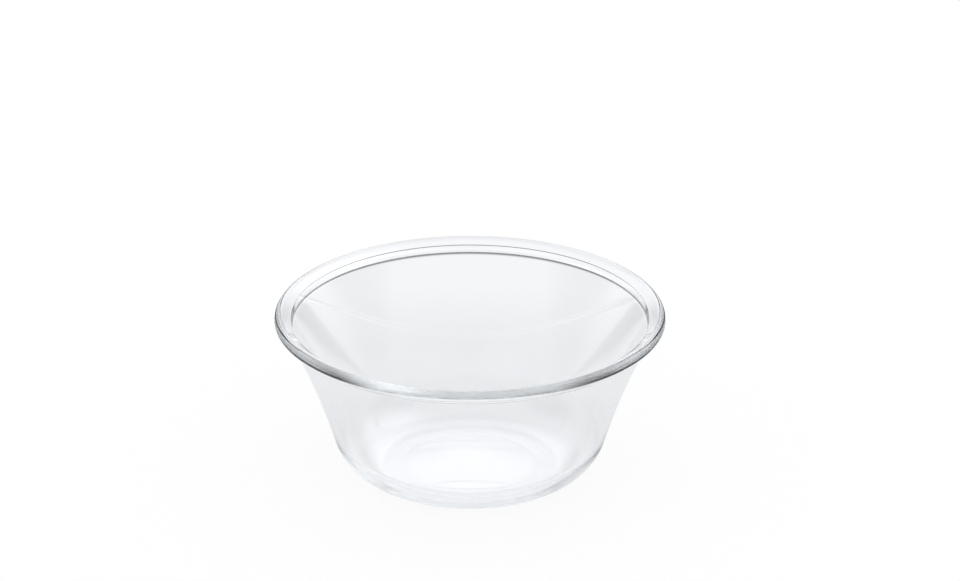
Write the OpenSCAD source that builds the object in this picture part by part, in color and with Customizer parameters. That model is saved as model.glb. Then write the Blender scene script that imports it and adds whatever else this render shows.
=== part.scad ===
// Clear glass prep bowl: one piece of pressed glass, turned about the Z axis.
// The origin is the middle of the base, on the table. All sizes are in millimetres.
// The section runs from a flat foot through a round corner and a swept wall to a flat, flared lip.

/* [Bowl] */
// Diameter over the lip
rim_d = 105; // [96:1:125]
// Height from the table to the top of the lip
bowl_h = 46.2; // [42:0.2:58]
// Diameter of the flat foot that the bowl stands on
foot_d = 46; // [38:1:52]
// Outside radius of the corner between the foot and the wall
corner_r = 14.5; // [10:0.5:20]
// Radius of the wall's gentle outward sweep, seen in section
sweep_r = 200; // [150:10:600]

/* [Glass] */
// Thickness of the wall and of the corner
wall_t = 2; // [1.4:0.1:2.6]
// Thickness of the base, from the table to the inside floor
base_t = 2.8; // [2:0.1:5]

/* [Lip] */
// Width of the lip seen from above, from the mouth to the rim
lip_w = 4.3; // [3.6:0.1:7]
// Thickness of the lip, whose outer edge is fully round
lip_t = 3; // [2.4:0.1:3.6]
// Slope of the lip, in degrees
lip_angle = 30; // [15:1:40]
// Radius of the edge between the lip's top and the inside of the wall
brim_r = 0.6; // [0.3:0.1:1.2]
// Radius of the fillet under the lip, where it runs into the wall
fillet_r = 2; // [0.6:0.1:4]

/* [Foot] */
// Diameter of the shallow hollow under the base
hollow_d = 36; // [24:1:38]
// Height of that hollow in its middle
hollow_h = 0.4; // [0.2:0.1:1]

/* [Hidden] */
$fn = 240;

// How far neighbouring lines and arcs reach into each other, so that they cross cleanly where they meet
overlap = 0.002;

edge_r = lip_t / 2;
slab_r = edge_r - overlap;
inner_corner_r = corner_r - wall_t;
inner_sweep_r = sweep_r + wall_t;
hollow_r = (pow(hollow_d / 2, 2) + pow(hollow_h, 2)) / (2 * hollow_h);

// Directions in the section: outwards along the lip, and upwards square to it
lip_out = [cos(lip_angle), sin(lip_angle)];
lip_up = [-sin(lip_angle), cos(lip_angle)];

// The point at distance ra from a and rb from b, on the right of the line from a to b
function meet(a, ra, b, rb) =
    let (gap = norm(b - a),
         u = (b - a) / gap,
         s = (ra * ra - rb * rb + gap * gap) / (2 * gap))
    a + s * u + sqrt(ra * ra - s * s) * [u[1], -u[0]];

// The point on the line through p along the lip that lies behind p, at distance r from c
function behind(p, c, r) =
    let (s = (p - c) * lip_out)
    p - (s + sqrt(s * s - (p - c) * (p - c) + r * r)) * lip_out;

// Points in the section, as [distance from the axis, height]: the middle of the lip's round edge,
// the end of the lip's flat top, and the mouth, where the inside of the wall meets that top
edge_c = [rim_d / 2 - edge_r, bowl_h - edge_r];
lip_top = edge_c + slab_r * lip_up;
lip_run = (lip_top[0] - rim_d / 2 + lip_w) / lip_out[0];
mouth = lip_top - lip_run * lip_out;

// Centres of the arcs
corner_c = [foot_d / 2, corner_r];
sweep_c = meet(corner_c, corner_r + sweep_r - overlap, mouth, inner_sweep_r);
fillet_c = behind(edge_c - (slab_r + fillet_r - overlap) * lip_up, sweep_c, sweep_r - fillet_r + overlap);
brim_c = behind(edge_c + (slab_r - brim_r + overlap) * lip_up, sweep_c, inner_sweep_r - brim_r + overlap);
inner_corner_z = base_t + inner_corner_r;
inner_reach = inner_sweep_r + inner_corner_r - overlap;
inner_run = sqrt(pow(inner_reach, 2) - pow(inner_corner_z - sweep_c[1], 2));
inner_corner_c = [sweep_c[0] - inner_run, inner_corner_z];

// The wall ends inside the lip, on the line from the sweep's centre through the seat.
// That line meets the axis at seat_line_z.
seat = mouth - slab_r * lip_up;
seat_line_z = sweep_c[1] + (seat[1] - sweep_c[1]) * sweep_c[0] / (sweep_c[0] - seat[0]);

// The area from the axis out to a corner arc and a wall arc, above a level floor.
// Its top is a line from the sweep's centre to the axis, which it meets at axis_z.
module filled(floor_z, corner, r, wall_r, axis_z) {
    polygon([[0, floor_z], [corner[0], floor_z], corner, [0, corner[1]]]);
    translate(corner)
        intersection() {
            circle(r);
            translate([0, -r]) square(2 * r);
        }
    difference() {
        polygon([[0, corner[1]], corner, sweep_c, [0, axis_z]]);
        translate(sweep_c) circle(wall_r);
    }
}

// The lip: a flat strip with a round outer edge, which reaches back past the mouth
module lip_section() {
    back = (lip_run + lip_t) * lip_out;
    lip_under = edge_c - slab_r * lip_up;
    polygon([lip_under, lip_top, lip_top - back, lip_under - back]);
    translate(edge_c) circle(edge_r);
}

// What fills the groove under the lip, back to the middle of the wall and of the lip
module fillet_section() {
    to_wall = (fillet_c - sweep_c) / norm(fillet_c - sweep_c);
    difference() {
        polygon([
            fillet_c,
            fillet_c + (fillet_r + edge_r) * lip_up,
            fillet_c + (fillet_r + wall_t / 2) * to_wall
        ]);
        translate(fillet_c) circle(fillet_r);
    }
}

// What is taken off at the mouth to round the edge there
module brim_cut() {
    to_wall = (brim_c - sweep_c) / norm(brim_c - sweep_c);
    difference() {
        polygon([brim_c, brim_c + 2 * brim_r * to_wall, 2 * mouth - brim_c, brim_c + 2 * brim_r * lip_up]);
        translate(brim_c) circle(brim_r);
    }
}

module bowl() {
    color([0.92, 0.94, 0.95, 0.35])
        rotate_extrude()
            difference() {
                union() {
                    filled(0, corner_c, corner_r, sweep_r, seat_line_z);
                    lip_section();
                    fillet_section();
                }
                filled(base_t, inner_corner_c, inner_corner_r, inner_sweep_r, seat_line_z + bowl_h);
                brim_cut();
                translate([0, hollow_h - hollow_r]) circle(hollow_r);
            }
}

bowl();
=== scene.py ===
import cmath
import math

import bpy
from bpy.props import FloatProperty, FloatVectorProperty, IntProperty, PointerProperty
from bpy.types import NodeSocket, Operator, Panel, PropertyGroup
from mathutils import Euler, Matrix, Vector


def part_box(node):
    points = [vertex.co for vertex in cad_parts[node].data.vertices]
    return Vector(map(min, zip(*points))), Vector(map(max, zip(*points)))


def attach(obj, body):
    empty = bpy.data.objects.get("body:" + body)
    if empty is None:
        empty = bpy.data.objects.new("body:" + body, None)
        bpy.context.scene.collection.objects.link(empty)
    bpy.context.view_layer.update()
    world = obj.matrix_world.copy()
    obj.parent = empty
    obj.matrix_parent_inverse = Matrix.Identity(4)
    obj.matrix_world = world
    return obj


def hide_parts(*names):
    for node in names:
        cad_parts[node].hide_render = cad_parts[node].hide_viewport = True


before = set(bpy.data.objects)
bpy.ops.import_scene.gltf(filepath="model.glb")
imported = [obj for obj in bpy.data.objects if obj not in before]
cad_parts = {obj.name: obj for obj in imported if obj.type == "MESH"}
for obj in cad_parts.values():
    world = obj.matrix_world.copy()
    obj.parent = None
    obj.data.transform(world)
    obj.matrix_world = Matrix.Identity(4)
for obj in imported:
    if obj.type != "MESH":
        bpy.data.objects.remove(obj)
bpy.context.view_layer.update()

bl_info = {
    "name": "Glass Prep Bowl",
    "version": (1, 0, 0),
    "blender": (4, 5, 0),
    "location": "View3D > Sidebar > Prep Bowl",
    "description": "Turns a clear pressed glass prep bowl and sets it in a white studio",
    "category": "Object",
}

# The box of the CAD model, which the bowl's rim, height and place come from
BOWL_LOW, BOWL_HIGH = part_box("bowl")
MM = 0.001
WHITE = (1, 1, 1, 1)

# Directions of the bowl's section, as angles
UP = math.pi / 2
DOWN = -math.pi / 2

# How many straight pieces stand for an arc of the section
ARC_STEPS = 40
SMALL_ARC_STEPS = 16
HOLLOW_STEPS = 12

# The foot's own flat starts this far outside the hollow, so that the edge between them stays crisp
FLAT_START = 0.2 * MM

# Haze sets in where its noise passes the first of these values, and is full at the second
HAZE_FROM = 0.45
HAZE_FULL = 0.7

# Height above the table up to which the foot's ring is scuffed, and where the scuffs end
SCUFF_FULL = 0.02 * MM
SCUFF_END = 0.1 * MM

# The floor's half width, and how far it lies under the foot, so that glass and paper never share a face
FLOOR_REACH = 4.0
FLOOR_GAP = 0.05 * MM

# The floor in the glass, painted light and shade: distance from the middle of the painted glow, and the
# setting that the floor has there
PAINTED_FLOOR_STOPS = (
    (36 * MM, "glow"),
    (50 * MM, "shade"),
    (58 * MM, "shade"),
    (74 * MM, "near_floor"),
    (100 * MM, "near_floor"),
    (140 * MM, "far_floor"),
)

# Where the painted falloff of light starts to darken the floor behind the bowl, in the glass, and where it
# has ended
PAINTED_FALLOFF_START = 160 * MM
PAINTED_FALLOFF_END = 270 * MM

# The room in the glass: elevation in degrees, and the setting that the room has there
ROOM_STOPS = (
    (9, "card"),
    (13, "wall"),
    (22, "wall"),
    (30, "upper_wall"),
    (90, "ceiling"),
)

# Lights and dark places in the room, in degrees: azimuth from the back to the right, elevation, the angles
# out to where each starts to fade and where it ends, and then its setting and whether it adds or takes
ROOM_SPOTS = (
    (0, -75, 76.2, 78, "strip", -1),
    (0, 32, 8, 24, "back_light", 1),
    (0, 56, 7, 14, "back_gap", -1),
    (13, 17, 4, 14, "back_wall", -1),
    (-13, 17, 4, 14, "back_wall", -1),
    (60, 42, 6, 34, "side_light", 1),
    (-48, 28, 10, 30, "fill_light", 1),
    (94, 28, 10, 32, "flags", -1),
    (-94, 28, 10, 32, "flags", -1),
)

# Sockets of the Mix node, which share their names: its values, its colours and the colour that comes out
MIX_FACTOR = 0
VALUE_A = 2
VALUE_B = 3
COLOUR_A = 6
COLOUR_B = 7
COLOUR_OUT = 2

# The photograph's frame, and where the middle of the bowl's foot stands in it, in pixels
IMAGE_WIDTH = 960
IMAGE_HEIGHT = 581
FOOT_PIXEL_X = 470.0
FOOT_PIXEL_Y = 465.0

# Width of the camera's sensor, in millimetres
SENSOR_WIDTH = 36

# Light that runs along inside the wall turns back many times before it comes out again
GLASS_BOUNCES = 48


def linear(hex_colour):
    """An sRGB hex colour such as #F4F4F4 as linear red, green and blue."""
    values = [int(hex_colour[i:i + 2], 16) / 255 for i in (1, 3, 5)]
    return [v / 12.92 if v <= 0.04045 else ((v + 0.055) / 1.055) ** 2.4 for v in values]


def length(name, description, default):
    """A length that the user can change, in metres."""
    return FloatProperty(
        name=name, description=description, default=default, min=0, unit="LENGTH", precision=5
    )


def angle(name, description, degrees):
    """An angle that the user can change."""
    return FloatProperty(name=name, description=description, default=math.radians(degrees), subtype="ANGLE")


def level(name, description, default):
    """A brightness that the user can change, where 1 is white."""
    return FloatProperty(name=name, description=description, default=default, min=0)


def share(name, description, default):
    """A share from 0 to 1 that the user can change."""
    return FloatProperty(
        name=name, description=description, default=default, min=0, max=1, subtype="FACTOR"
    )


def colour(name, description, hex_colour):
    """A colour that the user can change."""
    return FloatVectorProperty(
        name=name, description=description, default=linear(hex_colour), min=0, max=1, subtype="COLOR"
    )


class BowlSizes(PropertyGroup):
    """The sizes of the bowl's section."""

    rim_diameter: length("Rim", "Diameter over the lip", BOWL_HIGH.x - BOWL_LOW.x)
    height: length("Height", "From the table to the top of the lip", BOWL_HIGH.z - BOWL_LOW.z)
    foot_diameter: length("Foot", "Diameter of the flat foot", 46 * MM)
    corner_radius: length("Corner", "Outside radius between foot and wall", 14.5 * MM)
    sweep_radius: length("Sweep", "Radius of the wall's outward sweep", 200 * MM)
    wall: length("Wall", "Thickness of the wall and the corner", 2 * MM)
    base: length("Base", "Thickness of the base", 2.8 * MM)
    lip_width: length("Lip", "Width of the lip seen from above", 4.3 * MM)
    lip_thickness: length("Lip thickness", "Thickness of the lip", 3 * MM)
    lip_angle: angle("Lip slope", "How steeply the lip rises outwards", 30)
    brim_radius: length("Brim", "Radius of the edge between lip and inside", 0.6 * MM)
    fillet_radius: length("Fillet", "Radius of the fillet under the lip", 2 * MM)
    hollow_diameter: length("Hollow", "Diameter of the hollow under the base", 36 * MM)
    hollow_height: length("Hollow height", "Height of that hollow in its middle", 0.4 * MM)
    segments: IntProperty(name="Segments", description="Faces round the bowl", default=288, min=32)


class GlassLook(PropertyGroup):
    """What the glass looks like."""

    tint: colour("Tint", "Colour of the light that the glass lets through", "#E2E6E6")
    depth: FloatProperty(
        name="Depth", description="How strongly a metre of glass takes that colour", default=5, min=0
    )
    ior: FloatProperty(name="IOR", description="Refractive index", default=1.52, min=1, max=2)
    ripple_width: length("Ripple width", "Size of the ripples that pressing leaves", 16 * MM)
    ripple_depth: length("Ripple depth", "Height of those ripples", 0.006 * MM)
    haze: share("Haze", "Roughness where the glass has been handled most", 0.05)
    haze_width: length("Haze width", "Size of those places", 22 * MM)
    scuff: share("Scuff", "Roughness of the foot's ring, which slides on tables", 0.3)
    scuff_grit: length("Scuff grit", "Size of the scratched spots", 0.7 * MM)


class StudioLook(PropertyGroup):
    """The floor, the light and the camera."""

    paper: colour("Paper", "Colour of the white paper that the bowl stands on", "#FAFAFA")
    daylight: colour("Daylight", "Colour of the light that the glass shows", "#FAFCFF")
    floor_white: share("Floor white", "Share of plain white in the floor", 0.9)
    # In the glass the floor shows mostly painted light: glow is a painted pool of gathered light, shifted
    # forward by glow forward, shade a painted shadow of the bowl, near and far floor a painted shade that
    # lightens away from the bowl, and dark the painted end of that light behind the bowl
    glass_white: share("White in glass", "Share of plain white in the floor, in the glass", 0.85)
    glow: level("Glow", "Brightness of the floor where the bowl gathers light, in the glass", 0.97)
    shade: level("Shade", "Brightness of the floor in the bowl's own shadow, in the glass", 0.83)
    near_floor: level("Near floor", "Brightness of the floor round the bowl, in the glass", 0.855)
    far_floor: level("Far floor", "Brightness of the floor further out, in the glass", 0.95)
    glow_forward: length("Glow forward", "How far the glow lies in front of the foot's middle", 18 * MM)
    dark: level("Dark", "Brightness of the floor behind the paper, in the glass", 0.1)
    card: level("Card", "Brightness of the low white card that stands round the paper", 1.0)
    wall: level("Wall", "Brightness of the room's walls above that card", 0.8)
    upper_wall: level("Upper wall", "Brightness of the walls higher up", 0.85)
    ceiling: level("Ceiling", "Brightness of the room overhead", 1.15)
    strip: level("Strip", "What the dark strip low behind the bowl takes from the room", 0.9)
    back_light: level("Back light", "What the soft light behind the bowl adds to the room", 0.8)
    back_gap: level("Back gap", "What the gap over that light takes from the room", 0.75)
    back_wall: level("Back wall", "What the darker walls under that light take from the room", 0.62)
    side_light: level("Side light", "What the soft light at the side adds to the room", 1.3)
    fill_light: level("Fill light", "What the weaker light at the other side adds to the room", 0.22)
    flags: level("Flags", "What the dark flags at both sides take from the room", 0.65)
    camera_distance: length("Camera distance", "From the lens to the bowl's foot", 1066 * MM)
    camera_elevation: angle("Camera elevation", "Height of the camera, seen from the foot", 26.32)
    camera_lens: FloatProperty(
        name="Lens", description="Focal length on a 36 mm sensor", default=146.25, subtype="DISTANCE_CAMERA"
    )


class PrepBowlSettings(PropertyGroup):
    """All settings of the prep bowl."""

    sizes: PointerProperty(type=BowlSizes)
    glass: PointerProperty(type=GlassLook)
    studio: PointerProperty(type=StudioLook)


def meet(a, reach_a, b, reach_b):
    """The point at reach_a from a and reach_b from b, on the right of the line from a to b."""
    line = b - a
    along = (reach_a ** 2 - reach_b ** 2 + abs(line) ** 2) / (2 * abs(line))
    return a + line / abs(line) * complex(along, -math.sqrt(reach_a ** 2 - along ** 2))


def behind(point, way, centre, reach):
    """The point at a reach from the centre, on the line through a point along a way, behind that point."""
    gap = (point - centre) / way
    return point - way * (gap.real + math.sqrt(reach ** 2 - gap.imag ** 2))


def heading(a, b):
    """The angle of the line from a to b."""
    return cmath.phase(b - a)


def arc(centre, radius, start, end, steps):
    """Points of an arc from one angle to another, each with the normal on the right of the way along it."""
    side = math.copysign(1, end - start)
    turns = [cmath.rect(1, start + (end - start) * i / steps) for i in range(steps + 1)]
    return [(centre + radius * turn, side * turn) for turn in turns]


def bowl_section(sizes):
    """The bowl's outline, from the axis under the base, up the outside, over the lip and back to the axis.

    Each entry is a point and its normal. A point is a complex number: distance from the axis + height * 1j.
    """
    edge_r = sizes.lip_thickness / 2
    corner_r = sizes.corner_radius
    sweep_r = sizes.sweep_radius
    fillet_r = sizes.fillet_radius
    brim_r = sizes.brim_radius
    inner_corner_r = corner_r - sizes.wall
    inner_sweep_r = sweep_r + sizes.wall
    hollow_edge = complex(sizes.hollow_diameter / 2, 0)
    hollow_r = (hollow_edge.real ** 2 + sizes.hollow_height ** 2) / (2 * sizes.hollow_height)

    # The lip: its directions, the middle of its round edge, and the mouth where its top meets the inside
    lip_turn = UP + sizes.lip_angle
    lip_out = cmath.rect(1, sizes.lip_angle)
    lip_up = cmath.rect(1, lip_turn)
    edge = complex(sizes.rim_diameter / 2 - edge_r, sizes.height - edge_r)
    lip_top = edge + edge_r * lip_up
    lip_run = (lip_top.real - sizes.rim_diameter / 2 + sizes.lip_width) / lip_out.real
    mouth = lip_top - lip_run * lip_out

    # The centres of the other arcs
    corner = complex(sizes.foot_diameter / 2, corner_r)
    sweep = meet(corner, corner_r + sweep_r, mouth, inner_sweep_r)
    fillet = behind(edge - (edge_r + fillet_r) * lip_up, lip_out, sweep, sweep_r - fillet_r)
    brim = behind(edge + (edge_r - brim_r) * lip_up, lip_out, sweep, inner_sweep_r - brim_r)
    inner_corner_z = sizes.base + inner_corner_r
    inner_run = math.sqrt((inner_sweep_r + inner_corner_r) ** 2 - (inner_corner_z - sweep.imag) ** 2)
    inner_corner = complex(sweep.real - inner_run, inner_corner_z)
    hollow = complex(0, sizes.hollow_height - hollow_r)

    foot_flat = [(hollow_edge + FLAT_START, -1j)]
    floor_middle = [(complex(0, sizes.base), 1j)]
    return (
        arc(hollow, hollow_r, UP, heading(hollow, hollow_edge), HOLLOW_STEPS)
        + foot_flat
        + arc(corner, corner_r, DOWN, heading(corner, sweep), ARC_STEPS)
        + arc(sweep, sweep_r, heading(sweep, corner), heading(sweep, fillet), ARC_STEPS)[1:]
        + arc(fillet, fillet_r, heading(sweep, fillet), lip_turn, SMALL_ARC_STEPS)[1:]
        + arc(edge, edge_r, DOWN + sizes.lip_angle, lip_turn, ARC_STEPS)
        + arc(brim, brim_r, lip_turn, heading(sweep, brim), SMALL_ARC_STEPS)
        + arc(sweep, inner_sweep_r, heading(sweep, brim), heading(sweep, inner_corner), ARC_STEPS)[1:]
        + arc(inner_corner, inner_corner_r, heading(inner_corner, sweep), DOWN, ARC_STEPS)[1:]
        + floor_middle
    )


def turned_mesh(name, section, segments):
    """A closed mesh that turns a section about the Z axis. The section starts and ends on the axis."""
    around = [cmath.rect(1, math.tau * j / segments) for j in range(segments)]
    rings = section[1:-1]
    poles = (section[0], section[-1])
    points = []
    normals = []
    for point, normal in rings:
        points += [(point.real * a.real, point.real * a.imag, point.imag) for a in around]
        normals += [(normal.real * a.real, normal.real * a.imag, normal.imag) for a in around]
    for point, normal in poles:
        points.append((0, 0, point.imag))
        normals.append((0, 0, normal.imag))

    bottom = len(points) - 2
    top = len(points) - 1
    last = (len(rings) - 1) * segments
    faces = []
    for j in range(segments):
        k = (j + 1) % segments
        faces.append((bottom, k, j))
        faces.append((top, last + j, last + k))
        for i in range(len(rings) - 1):
            low = i * segments
            high = low + segments
            faces.append((low + j, low + k, high + k, high + j))

    mesh = bpy.data.meshes.new(name)
    mesh.from_pydata(points, [], faces)
    mesh.polygons.foreach_set("use_smooth", [True] * len(faces))
    mesh.normals_split_custom_set_from_vertices(normals)
    if mesh.validate():
        raise RuntimeError(f"{name} has faces that Blender can't use")
    return mesh


def add_node(tree, kind, inputs=(), **settings):
    """Add a node. Settings are its attributes, and inputs its sockets: a value each, or a link."""
    node = tree.nodes.new(kind)
    for name, value in settings.items():
        setattr(node, name, value)
    for socket, value in dict(inputs).items():
        if isinstance(value, NodeSocket):
            tree.links.new(value, node.inputs[socket])
        else:
            node.inputs[socket].default_value = value
    return node


def empty_tree(owner):
    """The node tree of a material or world, cleared."""
    owner.use_nodes = True
    owner.node_tree.nodes.clear()
    return owner.node_tree


def pressed_glass(look):
    """Clear soda-lime glass, pressed in a mould and fire-polished.

    The flame melts the surface smooth, so the eye gets sharp reflections and a clear view, bent a little by
    the broad, shallow ripples that pressing leaves, and a faint grey where the way through the glass is
    long. Hands leave a faint haze in places, and tables scuff the ring that the bowl stands on.
    """
    material = bpy.data.materials.new("pressed_fire_polished_glass")
    tree = empty_tree(material)
    place = add_node(tree, "ShaderNodeTexCoord").outputs["Object"]
    ripple = add_node(tree, "ShaderNodeTexNoise", {
        "Vector": place,
        "Scale": 1 / look.ripple_width,
        "Detail": 1.0,
    })
    bump = add_node(tree, "ShaderNodeBump", {
        "Height": ripple.outputs["Fac"],
        "Distance": look.ripple_depth,
    })

    # Haze from handling, in soft-edged places
    handled = add_node(tree, "ShaderNodeTexNoise", {
        "Vector": place,
        "Scale": 1 / look.haze_width,
        "Detail": 3.0,
    })
    haze = add_node(tree, "ShaderNodeMapRange", {
        "Value": handled.outputs["Fac"],
        "From Min": HAZE_FROM,
        "From Max": HAZE_FULL,
        "To Min": 0.0,
        "To Max": look.haze,
    })

    # Scuffs on the foot's ring, which fade out just above the table
    grit = add_node(tree, "ShaderNodeTexNoise", {
        "Vector": place,
        "Scale": 1 / look.scuff_grit,
        "Detail": 2.0,
    })
    height = add_node(tree, "ShaderNodeSeparateXYZ", {0: place}).outputs["Z"]
    worn = add_node(tree, "ShaderNodeMapRange", {
        "Value": height,
        "From Min": SCUFF_FULL,
        "From Max": SCUFF_END,
        "To Min": look.scuff,
        "To Max": 0.0,
    })
    rough = add_node(tree, "ShaderNodeMath", {
        0: worn.outputs[0],
        1: grit.outputs["Fac"],
        2: haze.outputs[0],
    }, operation="MULTIPLY_ADD")

    glass = add_node(tree, "ShaderNodeBsdfPrincipled", {
        "Base Color": WHITE,
        "Transmission Weight": 1.0,
        "Roughness": rough.outputs[0],
        "IOR": look.ior,
        "Normal": bump.outputs["Normal"],
    })
    body = add_node(tree, "ShaderNodeVolumeAbsorption", {"Color": (*look.tint, 1), "Density": look.depth})
    add_node(tree, "ShaderNodeOutputMaterial", {"Surface": glass.outputs[0], "Volume": body.outputs[0]})
    return material


def add_profile(tree, value, stops):
    """A brightness that runs in straight lines from stop to stop. Each stop is a value and its brightness."""
    ramp = add_node(tree, "ShaderNodeValToRGB", {0: value})
    elements = ramp.color_ramp.elements
    while len(elements) < len(stops):
        elements.new(0.5)
    for element, (position, brightness) in zip(elements, stops):
        element.position = position
        element.color = (brightness, brightness, brightness, 1)
    return ramp.outputs["Color"]


def paper_with_painted_light(look):
    """Matt white paper. It is plain white to the eye and keeps the bowl's shadow.

    In the glass it is mostly painted light over a little of the paper's real shading, and a little less
    white. It is whitest under the foot, in a painted pool of the light that the bowl gathers, a little darker
    in a painted shadow of the bowl, and ends behind the bowl in a painted falloff to dark.
    """
    material = bpy.data.materials.new("matt_paper_with_painted_light")
    tree = empty_tree(material)
    path = add_node(tree, "ShaderNodeLightPath")
    in_glass = add_node(tree, "ShaderNodeMath", {
        0: path.outputs["Is Glossy Ray"],
        1: path.outputs["Is Transmission Ray"],
    }, operation="MAXIMUM").outputs[0]
    place = add_node(tree, "ShaderNodeTexCoord").outputs["Object"]

    # Painted brightness outwards from the middle of the painted glow, and then the painted falloff of light
    # behind the bowl
    reach = add_node(tree, "ShaderNodeVectorMath", {
        0: place,
        1: (0, -look.glow_forward, 0),
    }, operation="DISTANCE")
    stops = [(distance, getattr(look, setting)) for distance, setting in PAINTED_FLOOR_STOPS]
    around = add_profile(tree, reach.outputs["Value"], stops)
    depth = add_node(tree, "ShaderNodeSeparateXYZ", {0: place}).outputs["Y"]
    # Painted falloff of the light on the floor behind the bowl, seen in the glass
    edge = add_profile(tree, depth, ((PAINTED_FALLOFF_START, 1.0), (PAINTED_FALLOFF_END, look.dark)))
    shown = add_node(tree, "ShaderNodeMath", {0: around, 1: edge}, operation="MULTIPLY").outputs[0]
    # The glass sees this painted light and shade as emission, over a small share of the paper's real shading
    strength = add_node(tree, "ShaderNodeMath", {
        0: shown,
        1: in_glass,
        2: path.outputs["Is Camera Ray"],
    }, operation="MULTIPLY_ADD")
    glass_part = add_node(tree, "ShaderNodeMath", {0: in_glass, 1: look.glass_white}, operation="MULTIPLY")
    white_part = add_node(tree, "ShaderNodeMath", {
        0: path.outputs["Is Camera Ray"],
        1: look.floor_white,
        2: glass_part.outputs[0],
    }, operation="MULTIPLY_ADD")
    paper = add_node(tree, "ShaderNodeBsdfDiffuse", {"Color": (*look.paper, 1)})
    tone = add_node(tree, "ShaderNodeMix", {
        MIX_FACTOR: in_glass,
        COLOUR_A: WHITE,
        COLOUR_B: (*look.daylight, 1),
    }, data_type="RGBA")
    white = add_node(tree, "ShaderNodeEmission", {
        "Color": tone.outputs[COLOUR_OUT],
        "Strength": strength.outputs[0],
    })
    mixed = add_node(tree, "ShaderNodeMixShader", {
        0: white_part.outputs[0],
        1: paper.outputs[0],
        2: white.outputs[0],
    })
    add_node(tree, "ShaderNodeOutputMaterial", {"Surface": mixed.outputs[0]})
    return material


def studio_world(look):
    """An even white dome to the camera and the floor; in the glass a room with soft lights and flags.

    The room has a low white card round the paper and is lighter overhead. Behind the paper lies a dark strip,
    which draws the two thin dark lines along the inside of the lip.
    """
    world = bpy.data.worlds.new("studio_room")
    tree = empty_tree(world)
    path = add_node(tree, "ShaderNodeLightPath")
    way = add_node(tree, "ShaderNodeTexCoord").outputs["Generated"]
    rise = add_node(tree, "ShaderNodeSeparateXYZ", {0: way}).outputs["Z"]
    stops = [(math.sin(math.radians(elevation)), getattr(look, setting)) for elevation, setting in ROOM_STOPS]
    shown = add_profile(tree, rise, stops)
    for azimuth, elevation, inner, outer, setting, sign in ROOM_SPOTS:
        around = math.radians(azimuth)
        above = math.radians(elevation)
        middle = (math.sin(around) * math.cos(above), math.cos(around) * math.cos(above), math.sin(above))
        towards = add_node(tree, "ShaderNodeVectorMath", {0: way, 1: middle}, operation="DOT_PRODUCT")
        spot = add_node(tree, "ShaderNodeMapRange", {
            "Value": towards.outputs["Value"],
            "From Min": math.cos(math.radians(outer)),
            "From Max": math.cos(math.radians(inner)),
            "To Min": 0.0,
            "To Max": sign * getattr(look, setting),
        }, interpolation_type="SMOOTHSTEP")
        shown = add_node(tree, "ShaderNodeMath", {0: shown, 1: spot.outputs[0]}, operation="ADD").outputs[0]
    even = add_node(tree, "ShaderNodeMath", {
        0: path.outputs["Is Camera Ray"],
        1: path.outputs["Is Diffuse Ray"],
    }, operation="MAXIMUM")
    strength = add_node(tree, "ShaderNodeMix", {
        MIX_FACTOR: even.outputs[0],
        VALUE_A: shown,
        VALUE_B: 1.0,
    })
    tone = add_node(tree, "ShaderNodeMix", {
        MIX_FACTOR: even.outputs[0],
        COLOUR_A: (*look.daylight, 1),
        COLOUR_B: WHITE,
    }, data_type="RGBA")
    light = add_node(tree, "ShaderNodeBackground", {
        "Color": tone.outputs[COLOUR_OUT],
        "Strength": strength.outputs[0],
    })
    add_node(tree, "ShaderNodeOutputWorld", {"Surface": light.outputs[0]})
    return world


def add_camera(look):
    """The photograph's camera: in front of the bowl, turned so that the foot's middle stands at its pixel."""
    data = bpy.data.cameras.new("photo_camera")
    data.sensor_width = SENSOR_WIDTH
    data.lens = look.camera_lens
    pixels = look.camera_lens / SENSOR_WIDTH * IMAGE_WIDTH
    up_turn = math.atan((FOOT_PIXEL_Y - IMAGE_HEIGHT / 2) / pixels)
    side_turn = math.atan((FOOT_PIXEL_X - IMAGE_WIDTH / 2) / pixels)
    back = Vector((0, -math.cos(look.camera_elevation), math.sin(look.camera_elevation)))
    camera = bpy.data.objects.new("photo_camera", data)
    camera.location = back * look.camera_distance
    camera.rotation_mode = "QUATERNION"
    turned = Euler((up_turn, side_turn, 0)).to_quaternion()
    camera.rotation_quaternion = (-back).to_track_quat("-Z", "Y") @ turned
    bpy.context.scene.collection.objects.link(camera)
    bpy.context.scene.camera = camera


class PREPBOWL_OT_bowl(Operator):
    """Turn the glass bowl from its section and give it its glass"""

    bl_idname = "prep_bowl.make_bowl"
    bl_label = "Make Bowl"

    def execute(self, context):
        settings = context.scene.prep_bowl
        mesh = turned_mesh("glass_bowl", bowl_section(settings.sizes), settings.sizes.segments)
        mesh.materials.append(pressed_glass(settings.glass))
        bowl = bpy.data.objects.new("glass_bowl", mesh)
        context.scene.collection.objects.link(bowl)
        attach(bowl, "root")
        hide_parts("bowl")
        return {"FINISHED"}


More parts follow.
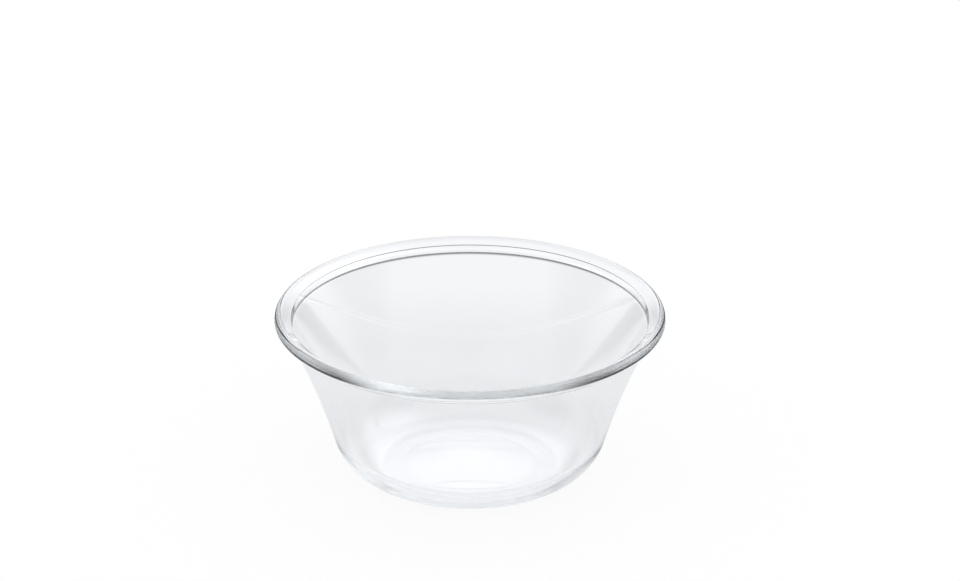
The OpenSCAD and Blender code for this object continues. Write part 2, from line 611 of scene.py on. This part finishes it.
class PREPBOWL_OT_stage(Operator):
    """Lay the white floor and set the light and the camera"""

    bl_idname = "prep_bowl.make_stage"
    bl_label = "Make Stage"

    def execute(self, context):
        look = context.scene.prep_bowl.studio
        mesh = bpy.data.meshes.new("floor")
        corners = [(-1, -1), (1, -1), (1, 1), (-1, 1)]
        points = [(x * FLOOR_REACH, y * FLOOR_REACH, BOWL_LOW.z - FLOOR_GAP) for x, y in corners]
        mesh.from_pydata(points, [], [(0, 1, 2, 3)])
        mesh.materials.append(paper_with_painted_light(look))
        floor = bpy.data.objects.new("floor", mesh)
        context.scene.collection.objects.link(floor)

        context.scene.world = studio_world(look)
        add_camera(look)
        context.scene.view_settings.view_transform = "Standard"
        context.scene.cycles.max_bounces = GLASS_BOUNCES
        context.scene.cycles.glossy_bounces = GLASS_BOUNCES
        context.scene.cycles.transmission_bounces = GLASS_BOUNCES
        return {"FINISHED"}


class PREPBOWL_PT_panel(Panel):
    """The prep bowl's settings and operators"""

    bl_idname = "PREPBOWL_PT_panel"
    bl_label = "Prep Bowl"
    bl_space_type = "VIEW_3D"
    bl_region_type = "UI"
    bl_category = "Prep Bowl"

    def draw(self, context):
        settings = context.scene.prep_bowl
        for group in (settings.sizes, settings.glass, settings.studio):
            box = self.layout.box()
            for name in group.__annotations__:
                box.prop(group, name)
        self.layout.operator(PREPBOWL_OT_bowl.bl_idname)
        self.layout.operator(PREPBOWL_OT_stage.bl_idname)


CLASSES = (
    BowlSizes,
    GlassLook,
    StudioLook,
    PrepBowlSettings,
    PREPBOWL_OT_bowl,
    PREPBOWL_OT_stage,
    PREPBOWL_PT_panel,
)


def register():
    for cls in CLASSES:
        bpy.utils.register_class(cls)
    bpy.types.Scene.prep_bowl = PointerProperty(type=PrepBowlSettings)


def unregister():
    del bpy.types.Scene.prep_bowl
    for cls in reversed(CLASSES):
        bpy.utils.unregister_class(cls)


def main():
    register()
    bpy.ops.prep_bowl.make_bowl()
    bpy.ops.prep_bowl.make_stage()


if __name__ == "__main__":
    main()
